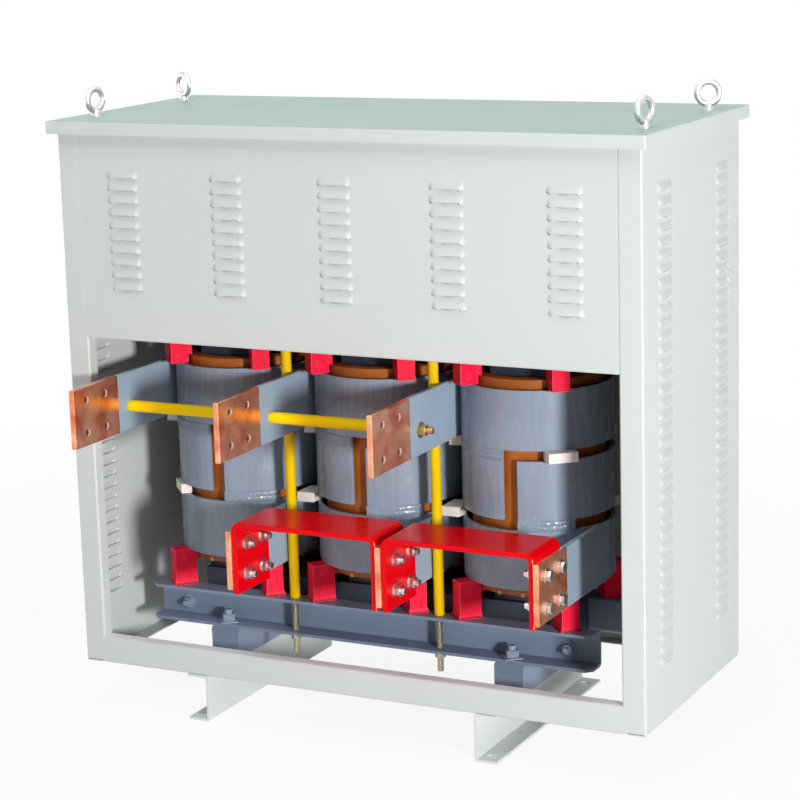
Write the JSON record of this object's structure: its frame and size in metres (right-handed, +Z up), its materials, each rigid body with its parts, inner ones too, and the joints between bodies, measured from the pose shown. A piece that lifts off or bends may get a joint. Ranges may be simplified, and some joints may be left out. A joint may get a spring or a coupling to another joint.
{
  "type": "dry-type power transformer",
  "caption": "Dry-type power transformer with strip-wound coils, copper terminals and star bridges on a clamped core, in a louvred sheet-metal cabinet with an open front.",
  "frame": {"origin": "centre of the floor bolt pattern, on the floor midway between the feet", "axes": "+X along the row of coils to the right, +Y from front to back, +Z up"},
  "size_m": [1.228, 0.697, 1.2365],
  "materials": {
    "cabinet_paint": "satin powder coat",
    "roof_paint": "satin powder coat",
    "foot_paint": "satin powder coat",
    "zinc": "bright zinc plate",
    "frame_paint": "satin paint",
    "core_paint": "matt paint over laminations",
    "varnish": "impregnated insulation",
    "strip_paint": "satin paint over copper strip",
    "copper": "bare milled copper pad, painted behind it",
    "red_paint": "gloss coating",
    "red_block": "moulded thermoset",
    "yellow_sleeve": "smooth insulating tube",
    "white_spacer": "sawn insulating board"
  },
  "bodies": {
    "root": {"left_foot": "foot_paint", "right_foot": "foot_paint", "front_sill": "cabinet_paint", "left_side_panel": "cabinet_paint", "right_side_panel": "cabinet_paint", "front_panel": "cabinet_paint", "back_panel": "cabinet_paint", "roof": "roof_paint", "lifting_eye_front_left": "zinc", "lifting_eye_front_right": "zinc", "lifting_eye_back_left": "zinc", "lifting_eye_back_right": "zinc", "left_cross_beam": "frame_paint", "right_cross_beam": "frame_paint", "lower_front_clamp": "frame_paint", "lower_back_clamp": "frame_paint", "upper_front_clamp": "frame_paint", "upper_back_clamp": "frame_paint", "lower_yoke": "core_paint", "upper_yoke": "core_paint", "core_leg_a": "core_paint", "core_leg_b": "core_paint", "core_leg_c": "core_paint", "inner_winding_a": "varnish", "inner_winding_b": "varnish", "inner_winding_c": "varnish", "outer_winding_a": "strip_paint", "outer_winding_b": "strip_paint", "outer_winding_c": "strip_paint", "line_terminal_a": "copper", "line_terminal_b": "copper", "line_terminal_c": "copper", "star_terminal_a": "copper", "star_terminal_b": "copper", "star_terminal_c": "copper", "star_bridge_ab": "red_paint", "star_bridge_bc": "red_paint", "terminal_spacer_rod_ab": "yellow_sleeve", "terminal_spacer_rod_bc": "yellow_sleeve", "tie_rods": "zinc", "tie_rod_sleeves": "yellow_sleeve", "lower_support_blocks": "red_block", "upper_support_blocks": "red_block", "turn_spacers": "white_spacer"}
  },
  "joints": []
}
